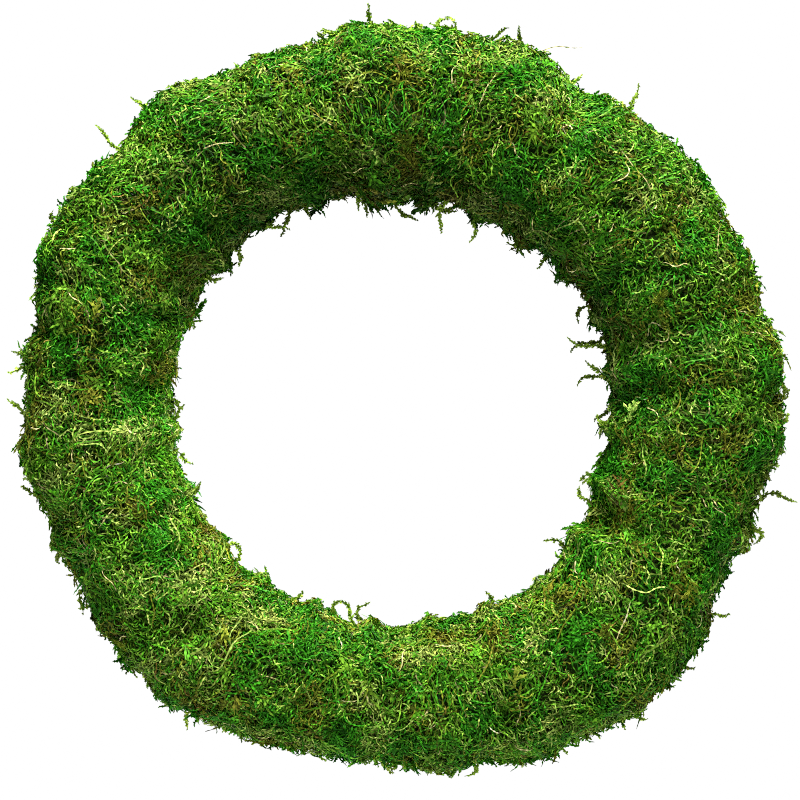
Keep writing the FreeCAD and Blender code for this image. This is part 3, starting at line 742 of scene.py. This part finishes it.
def rim_roots(draw, middle):
    """Roots of the curled shoots along a pad's two rims, gathered in small bunches."""
    bunches = RIM_BUNCHES_PER_PAD
    bunch = np.repeat(np.arange(bunches), RIM_BUNCH_SIZE)
    count = len(bunch)
    rim = np.where(draw.random(bunches) < OUTER_RIM_SHARE, 0.5 - RIM_PLACE, 0.5 + RIM_PLACE)
    angle = middle + draw.uniform(-0.5, 0.5, bunches) * PAD_SECTOR
    heading = draw.uniform(-math.pi, math.pi, bunches)
    return dict(
        angle=angle[bunch] + draw.normal(0, 1.2, count),
        across=(rim + draw.normal(0, 0.035, bunches))[bunch] + draw.normal(0, 0.010, count),
        heading=heading[bunch] + draw.normal(0, 0.9, count),
        layer=draw.uniform(0.5, 1.0, count),
        freedom=draw.uniform(0.55, 1.0, count),
        curl=draw.normal(0, 2.2, count),
    )


# Loose sprigs round the edges, rooted under the firm moss: the angle, how far from the axis each
# would reach straight out or in, the way it points in the plane of the ring, and how far it turns.
SPRIGS = [
    # along the top
    (98, 185, 110, 40), (97, 184, 80, -50), (95, 187, 60, 30), (92, 184, 95, 60), (101, 180, 130, -30),
    (88, 180, 75, 60), (84, 185, 105, -60), (80, 186, 60, 50), (77, 187, 85, -40), (74, 188, 40, 60),
    (109, 179, 120, 40), (113, 182, 160, -40), (122, 190, 165, 15), (125, 184, 120, -40),
    (133, 193, 115, 40), (137, 194, 150, -30), (53, 180, 60, 70), (51, 189, 38, 25),
    (47, 200, 10, -190), (60, 179, 70, -50),
    # bunches of curls along the top
    (97, 185, 95, 95), (98.5, 188, 80, 120), (99.5, 181, 110, 60), (100, 178, 60, -60),
    (94.5, 182, 100, 90), (95.5, 180, 70, -60), (93.5, 179, 80, 110), (91.5, 180, 80, 70),
    (90, 180, 95, 100), (89, 179, 60, -40), (87.5, 178, 85, 60), (82, 187, 100, 80), (83, 179, 75, 70),
    (78, 186, 80, -40), (77, 182, 110, 60), (75.5, 181, 70, -70), (104, 179, 95, 80),
    (103, 178, 70, 90), (106, 177, 110, -60), (111, 179, 85, 70),
    # right side
    (38, 179, 30, 40), (28, 179, 60, -40), (16, 181, 40, 50), (8, 186, 20, -60), (2, 190, 60, -120),
    (359, 188, 30, 70), (356, 185, -10, 60), (352, 182, -40, 40), (343, 196, 0, -30),
    (341, 188, -5, -70), (336, 180, -30, 40), (325, 187, -70, 50), (322, 190, -45, -40),
    (316, 190, -60, 40),
    # along the bottom
    (306, 192, -80, 40), (303, 191, -40, -50), (297, 187, -100, 40), (289, 182, -70, -60),
    (283, 184, -95, -50), (281, 191, -60, 210), (279, 181, -110, 40), (266, 179, -100, 40),
    (268, 177, -70, -50), (256, 176, -110, 40), (245, 181, -120, -40), (236, 188, -100, 20),
    (234, 183, -130, 40), (222, 182, -140, -40),
    # left side
    (210, 187, -110, 40), (213, 182, -140, -40), (203, 181, -160, 40), (194, 184, 190, -50),
    (189, 184, 200, 50), (183, 189, 175, -30), (177, 187, 165, 50), (171, 186, 200, -40),
    (162, 184, 150, 40), (153, 189, 160, -50), (146, 187, 130, 40),
    # upper edge of the hole
    (120, 89, -60, -50), (126, 90, -30, 40), (112, 90, -100, 40), (104, 88, -60, -40),
    (98, 85, -110, 40), (91, 78, -80, 60), (87, 75, -100, -70), (83, 80, -60, 50), (76, 79, -110, 30),
    (70, 83, -120, -40), (64, 78, -115, 30), (62, 84, -80, 50), (50, 84, -130, -40), (40, 85, 190, 50),
    # right edge of the hole
    (28, 87, 200, 40), (17, 81, 165, 20), (13, 79, 195, -25), (9, 79, 150, 30), (5, 83, 185, -40),
    (359, 87, 165, 40), (352, 89, 190, -40), (338, 89, 150, 40), (329, 89, 170, -30),
    (318, 92, 130, 40),
    # lower edge of the hole
    (306, 100, 110, -40), (297, 100, 100, 50), (290, 94, 60, 40), (286, 96, 100, -40),
    (282, 94, 120, 60), (277, 97, 80, -60), (267, 96, 40, 40), (262, 91, 110, -60), (259, 92, 70, 60),
    (253, 96, 110, -40), (249, 95, 140, 40), (243, 98, 60, -40),
    # left edge of the hole
    (228, 96, 30, 40), (217, 95, 60, -40), (205, 99, 10, 40), (193, 97, -20, -40), (184, 98, 20, 50),
    (178, 98, -15, -40), (169, 101, 30, 40), (158, 100, 0, -40), (147, 98, -30, 40),
    (136, 95, -50, -30),
]
# Dry stalks: angle, radius, depth, the way each points, its length, and how far it turns.
STALKS = [
    (69.5, 173, 30, 5, 25, -22), (40, 150, 64, 118, 22, 12), (75, 140, 66, 62, 17, -14),
    (312, 148, 65, 68, 19, 10), (203, 150, 65, 42, 15, 8), (350, 130, 62, 20, 20, 25),
    (128, 146, 66, 15, 14, -20), (247, 140, 65, 150, 16, 14), (268, 158, 60, 80, 13, -12),
    (292, 128, 62, 30, 17, 30), (24, 160, 58, 100, 15, -18), (171, 150, 63, 75, 15, 16),
]
SPRIG_DEPTHS = (16.0, 38.0)
SPRIG_STEP, SPRIG_WIDTH = 0.75, 0.56
SPRIG_TINT = (0.27, 0.43, 0.05)
# How deep a sprig's root sits under the firm moss, and how much harder it turns than listed.
SPRIG_ROOT, SPRIG_TURN_GAIN = 3.0, 1.5
# The length from which sprigs branch, the share of branchlets kept, their size and width.
BRANCHED_LENGTH, KEPT_SHARE, BRANCHLET_SIZE, BRANCHLET_WIDTH = 11, 0.7, 0.38, 0.55
STALK_STEPS, STALK_WIDTH, STALK_FREEDOM = 14, 0.26, 0.1
# How strongly a sprig and a stalk waver on their way.
SPRIG_WAVER, STALK_WAVER = (0.25, 0.7), (0.05, 0.2)
TO_FRONT = np.array([0.0, -1.0, 0.0])


def curved_paths(draw, places, steps, waver):
    """Stem points of curves in the plane of the ring, from rows like those of STALKS."""
    angle, radius, depth, points_to, length, turns = np.array(places, dtype=float).T
    run = np.linspace(0, 1, steps + 1)[None, :]
    way = np.radians(points_to[:, None] + turns[:, None] * run ** 1.4)
    phase = draw.random((len(places), 1))
    sweep = draw.uniform(*waver, (len(places), 1))
    way = way + sweep * (np.sin(2 * np.pi * (run * 1.4 + phase)) - np.sin(2 * np.pi * phase))
    step = (length / steps)[:, None]
    start = to_world(angle, radius, depth)
    x, z = start[:, :1] + walk(np.cos(way), step), start[:, 2:] + walk(np.sin(way), step)
    sway = draw.uniform(-0.25, 0.25, (len(places), 1)) * length[:, None] * run ** 2
    return np.stack([x, start[:, 1:2] + sway, z], axis=-1)


def loose_sprigs(shoot_material):
    """The sprigs that stand out round both edges, and the dry stalks, as two pieces."""
    draw = np.random.default_rng(SEED + 300)
    layer, freedom = np.array([0.85]), np.array([0.6])
    batches = []
    for angle, reach, points_to, turns in SPRIGS:
        inner, outer = edges_at(float(angle))
        rooted = outer - SPRIG_ROOT if reach > MIDDLE_RADIUS else inner + SPRIG_ROOT
        length = abs(reach - rooted)
        depth = draw.uniform(*SPRIG_DEPTHS)
        steps = max(4, round(length / SPRIG_STEP))
        place = (angle, rooted, depth, points_to, length, SPRIG_TURN_GAIN * turns)
        path = curved_paths(draw, [place], steps, SPRIG_WAVER)
        outward = np.broadcast_to(TO_FRONT, path.shape)
        colour = np.array([SPRIG_TINT]) * draw.uniform(0.6, 1.5)
        batches += ribbon_batches(draw, path, outward, SPRIG_WIDTH, layer, freedom, colour)
        if length >= BRANCHED_LENGTH:
            branches, branch_outward, owner = side_branches(draw, path, outward, leaf_pairs=3)
            kept = draw.random(len(branches)) < KEPT_SHARE
            # At least one branchlet stays.
            kept[0] = True
            branches, branch_outward, owner = branches[kept], branch_outward[kept], owner[kept]
            branches = branches[:, :1] + (branches - branches[:, :1]) * BRANCHLET_SIZE
            batches += ribbon_batches(
                draw, branches, branch_outward, BRANCHLET_WIDTH,
                layer[owner], freedom[owner], colour[owner],
            )
    sprigs = make_shoots("loose_sprigs", batches, shoot_material)
    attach(sprigs, ROOT)

    path = curved_paths(draw, STALKS, STALK_STEPS, STALK_WAVER)
    outward = np.broadcast_to(TO_FRONT, path.shape)
    full = np.ones(len(STALKS))
    colour = np.tile(TINTS["straw"], (len(STALKS), 1))
    batches = ribbon_batches(draw, path, outward, STALK_WIDTH, full, STALK_FREEDOM * full, colour)
    stalks = make_shoots("dry_stalks", batches, shoot_material)
    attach(stalks, ROOT)


PAD_SLICES, PAD_SECTION_POINTS = 46, 120


def moss_pad(name, number, roots, body_material, shoot_material):
    """A moss pad's lumpy body, hollow behind, and the shoots that grow on it."""
    middle = number * PAD_SECTOR
    angles = middle + np.linspace(-0.5, 0.5, PAD_SLICES) * PAD_SECTOR
    acrosses = np.linspace(0, 1, PAD_SECTION_POINTS)
    angle, across = np.meshgrid(angles, acrosses, indexing="ij")
    skin, _ = moss_surface(angle, across)
    radius = np.array([HOLLOW_INSIDE, HOLLOW_INSIDE, HOLLOW_OUTSIDE, HOLLOW_OUTSIDE])
    depth = np.array([BACK_DEPTH, HOLLOW_FRONT, HOLLOW_FRONT, BACK_DEPTH])
    hollow = to_world(*np.broadcast_arrays(angles[:, None], radius, depth))
    rows = np.concatenate([skin, hollow], axis=1)
    body = smooth_tube(name + "_body", rows, body_material)
    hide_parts(name)
    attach(body, ROOT)

    mine = np.abs(wrapped(roots["angle"] - middle)) <= PAD_SECTOR / 2
    own = {key: values[mine] for key, values in roots.items()}
    draw = np.random.default_rng(SEED + 100 + number)
    lot = draw.random(mine.sum())
    batches, low = [], 0.0
    for kind, share in SHARES:
        chosen = (lot >= low) & (lot < low + share)
        low += share
        batch = {key: values[chosen] for key, values in own.items()}
        batch["freedom"] = kind.looseness * batch["freedom"]
        tinting = pick_straw_tints if kind is STRAW else pick_tints
        batches += grow(draw, kind, moss_surface, batch, tinting)
    batches += grow(draw, RIM_SHOOT, moss_surface, rim_roots(draw, middle), pick_tints)
    shoots = make_shoots(name + "_shoots", batches, shoot_material)
    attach(shoots, ROOT)


def smooth_tube(name, rows, material):
    """A smooth piece with flat ends, from rows of points round a section, one per slice."""
    slices, around, _ = rows.shape
    triangles = [tube_triangles(slices, around)]
    for index in (0, slices - 1):
        end = tessellate_polygon([[Vector(point) for point in rows[index]]])
        corners = np.array(end, dtype=int) + index * around
        triangles.append(corners[:, ::-1] if index == 0 else corners)
    mesh = mesh_from_triangles(name, rows.reshape(-1, 3), np.concatenate(triangles))
    for polygon in mesh.polygons:
        polygon.use_smooth = True
    return add_object(name, mesh, material)


PACKING_TINTS = np.array([
    (0.11, 0.10, 0.025), (0.16, 0.13, 0.04), (0.07, 0.11, 0.02), (0.22, 0.18, 0.07),
])
# Half the degrees a wad and its shoots take up, and where across its back the shoots grow.
WAD_HALF, WAD_SHOOTS_HALF = 21.3, 20.6
WAD_BACK = (0.60, 0.90)
WAD_SLICES, WAD_SECTION_POINTS, SHOOTS_PER_WAD = 60, 56, 1500


def pick_packing_tints(draw, points, angle, across):
    """One colour per coarse packing shoot."""
    colour = PACKING_TINTS[draw.integers(0, len(PACKING_TINTS), len(points))]
    return np.clip(colour * draw.uniform(0.6, 1.3, (len(points), 1)), 0, 1)


def packing_wad(name, number, body_material, shoot_material):
    """A wad of pressed packing moss, with coarse shoots on its back."""
    middle = number * WAD_SECTOR
    angles = middle + np.linspace(-WAD_HALF, WAD_HALF, WAD_SLICES)
    acrosses = np.arange(WAD_SECTION_POINTS) / WAD_SECTION_POINTS
    angle, across = np.meshgrid(angles, acrosses, indexing="ij")
    points, _ = packing_surface(angle, across)
    body = smooth_tube(name + "_body", points, body_material)
    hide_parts(name)
    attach(body, ROOT)

    draw = np.random.default_rng(SEED + 200 + number)
    count = SHOOTS_PER_WAD
    roots = dict(
        angle=middle + draw.uniform(-WAD_SHOOTS_HALF, WAD_SHOOTS_HALF, count),
        across=draw.uniform(*WAD_BACK, count),
        heading=draw.uniform(-math.pi, math.pi, count),
        # The low layer also gives these shoots deep painted shade.
        layer=draw.uniform(0, 0.3, count),
        freedom=np.zeros(count),
        curl=draw.normal(0, 0.6, count),
    )
    batches = grow(draw, PACKING_SHOOT, packing_surface, roots, pick_packing_tints)
    shoots = make_shoots(name + "_shoots", batches, shoot_material)
    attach(shoots, ROOT)


# --- materials ---


def new_material(name, roughness, metallic=0.0, colour=(0.8, 0.8, 0.8)):
    """A material with only its shader, and the shader itself."""
    material = bpy.data.materials.new(name)
    material.use_nodes = True
    shader = material.node_tree.nodes["Principled BSDF"]
    shader.inputs["Base Color"].default_value = (*colour, 1)
    shader.inputs["Roughness"].default_value = roughness
    shader.inputs["Metallic"].default_value = metallic
    return material, shader


def add_noise(material, scale, detail):
    """Noise laid over a piece in its own coordinates."""
    nodes = material.node_tree.nodes
    place = nodes.new("ShaderNodeTexCoord")
    noise = nodes.new("ShaderNodeTexNoise")
    noise.inputs["Scale"].default_value = scale
    noise.inputs["Detail"].default_value = detail
    material.node_tree.links.new(place.outputs["Object"], noise.inputs["Vector"])
    return noise


def noise_colours(material, shader, scale, stops):
    """Base colour from noise, through a row of (place, colour) stops."""
    links = material.node_tree.links
    noise = add_noise(material, scale, detail=6.0)
    ramp = material.node_tree.nodes.new("ShaderNodeValToRGB")
    while len(ramp.color_ramp.elements) < len(stops):
        ramp.color_ramp.elements.new(0.5)
    for element, (position, colour) in zip(ramp.color_ramp.elements, stops):
        element.position = position
        element.color = (*colour, 1)
    links.new(noise.outputs["Fac"], ramp.inputs["Fac"])
    links.new(ramp.outputs["Color"], shader.inputs["Base Color"])


def noise_bump(material, shader, scale, distance):
    """Fine relief from noise."""
    links = material.node_tree.links
    noise = add_noise(material, scale, detail=5.0)
    bump = material.node_tree.nodes.new("ShaderNodeBump")
    bump.inputs["Strength"].default_value = 1.0
    bump.inputs["Distance"].default_value = distance
    links.new(noise.outputs["Fac"], bump.inputs["Height"])
    links.new(bump.outputs["Normal"], shader.inputs["Normal"])


def moss_body_material():
    """Old moss under the shoots: dark green and brown."""
    material, shader = new_material("moss_underlayer", roughness=0.9)
    shader.inputs["Specular IOR Level"].default_value = 0.1
    dark, green, brown = (0.006, 0.012, 0.002), (0.014, 0.032, 0.003), (0.030, 0.026, 0.006)
    noise_colours(material, shader, 160, [(0.30, dark), (0.50, green), (0.72, brown)])
    noise_bump(material, shader, 700, 0.0012)
    return material


def packing_body_material():
    """Pressed packing moss: dull brown and olive."""
    material, shader = new_material("packing_moss", roughness=0.95)
    dark, olive, brown = (0.018, 0.016, 0.006), (0.050, 0.045, 0.014), (0.100, 0.080, 0.032)
    noise_colours(material, shader, 220, [(0.30, dark), (0.50, olive), (0.72, brown)])
    noise_bump(material, shader, 800, 0.0012)
    return material


def shoot_material(name, roughness):
    """Moss shoots, coloured shoot by shoot through the colour stored on the mesh, painted light and
    shade included.
    """
    material, shader = new_material(name, roughness)
    shoot_colour_and_light = material.node_tree.nodes.new("ShaderNodeAttribute")
    shoot_colour_and_light.attribute_name = "shoot_colour_and_light"
    material.node_tree.links.new(shoot_colour_and_light.outputs["Color"], shader.inputs["Base Color"])
    shader.inputs["Specular IOR Level"].default_value = 0.06
    return material


def frame_lacquer_material():
    """Dark green lacquer on the frame's wire, a little uneven."""
    material, shader = new_material("frame_lacquer", roughness=0.38)
    dark, green, worn = (0.006, 0.030, 0.014), (0.010, 0.046, 0.020), (0.020, 0.060, 0.028)
    noise_colours(material, shader, 90, [(0.35, dark), (0.60, green), (0.75, worn)])
    noise_bump(material, shader, 900, 0.00008)
    return material


def binding_wire_material():
    """Green-lacquered florist's wire."""
    material, _ = new_material("binding_lacquer", roughness=0.42, colour=(0.012, 0.052, 0.018))
    return material


def loop_wire_material():
    """Zinc-coated wire of the hanging loop."""
    material, shader = new_material("zinc_wire", roughness=0.36, metallic=1.0)
    dull, bright = (0.42, 0.43, 0.43), (0.62, 0.63, 0.62)
    noise_colours(material, shader, 350, [(0.35, dull), (0.65, bright)])
    return material


def dress_frame():
    """Better materials on the wire parts that stay as they are."""
    lacquer, binding, zinc = frame_lacquer_material(), binding_wire_material(), loop_wire_material()
    own_materials = {"binding_wire": binding, "hanging_loop": zinc}
    for name, node in frame["nodes"].items():
        if name not in PAD_NAMES + WAD_NAMES:
            node.data.materials.clear()
            node.data.materials.append(own_materials.get(name, lacquer))


# --- surroundings ---


# In metres, and watts for the lights.
FLOOR_SIZE, FLOOR_DROP = 2.4, 0.25
FILL_STRENGTH, WARM_WHITE = 0.14, (1.0, 0.97, 0.90)
# How much of the ring's plane the camera shows from side to side.
WIDTH_SHOWN = 0.3752


def add_floor():
    """A pale floor a little below the wreath."""
    place = (CENTRE_X, 0, RING_LOW[2] - FLOOR_DROP)
    bpy.ops.mesh.primitive_plane_add(size=FLOOR_SIZE, location=place)
    floor = bpy.context.object
    floor.name = "floor"
    material, _ = new_material("floor_white", roughness=0.8, colour=(0.55, 0.55, 0.55))
    floor.data.materials.append(material)


def add_area_light(name, place, target, size, power, colour=(1, 1, 1)):
    """A soft square light at a place, turned towards a target."""
    light = bpy.data.lights.new(name, "AREA")
    light.size = size
    light.energy = power
    light.color = colour
    holder = add_object(name, light)
    holder.location = place
    holder.rotation_euler = (Vector(target) - Vector(place)).to_track_quat("-Z", "Y").to_euler()


def light_scene():
    """White surroundings for the camera, a dimmer fill all round, and three soft lights."""
    world = bpy.data.worlds.new("white_surroundings")
    bpy.context.scene.world = world
    world.use_nodes = True
    nodes, links = world.node_tree.nodes, world.node_tree.links
    nodes.clear()
    ways = nodes.new("ShaderNodeLightPath")
    fill = nodes.new("ShaderNodeBackground")
    fill.inputs["Strength"].default_value = FILL_STRENGTH
    seen = nodes.new("ShaderNodeBackground")
    seen.inputs["Color"].default_value = (1, 1, 1, 1)
    seen.inputs["Strength"].default_value = 1.0
    mix = nodes.new("ShaderNodeMixShader")
    output = nodes.new("ShaderNodeOutputWorld")
    links.new(ways.outputs["Is Camera Ray"], mix.inputs["Fac"])
    links.new(fill.outputs["Background"], mix.inputs[1])
    links.new(seen.outputs["Background"], mix.inputs[2])
    links.new(mix.outputs["Shader"], output.inputs["Surface"])
    centre = (CENTRE_X, -0.03, CENTRE_Z)
    add_area_light("key_light", (0.20, -0.80, CENTRE_Z + 1.6), centre, 0.5, 72, WARM_WHITE)
    add_area_light("rear_light", (0.5, 1.4, CENTRE_Z + 0.7), centre, 0.8, 14)
    add_area_light("top_light", (0.10, -0.10, CENTRE_Z + 1.6), centre, 0.7, 30, WARM_WHITE)


def add_camera():
    """A long lens straight in front of the ring, level with its middle."""
    camera = bpy.data.cameras.new("camera")
    camera.lens = 150
    camera.sensor_width = 36
    holder = add_object("camera", camera)
    away = WIDTH_SHOWN * camera.lens / camera.sensor_width
    holder.location = (CENTRE_X, -SIDE_DEPTH * MM - away, CENTRE_Z)
    holder.rotation_euler = (math.pi / 2, 0, 0)
    camera.clip_start, camera.clip_end = 0.05, 20
    bpy.context.scene.camera = holder


def build_moss():
    """All the moss: pads over the top and packing inside."""
    body_material = moss_body_material()
    green = shoot_material("moss_shoots", 0.5)
    roots = plant_shoots(np.random.default_rng(SEED))
    for number, name in enumerate(PAD_NAMES):
        moss_pad(name, number, roots, body_material, green)
    loose_sprigs(green)
    packing = packing_body_material()
    dull = shoot_material("packing_shoots", 0.7)
    for number, name in enumerate(WAD_NAMES):
        packing_wad(name, number, packing, dull)


build_moss()
dress_frame()
add_floor()
light_scene()
add_camera()
bpy.context.scene.view_settings.view_transform = "Standard"
bpy.context.scene.cycles.use_denoising = False
bpy.context.scene.cycles.filter_width = 1.0
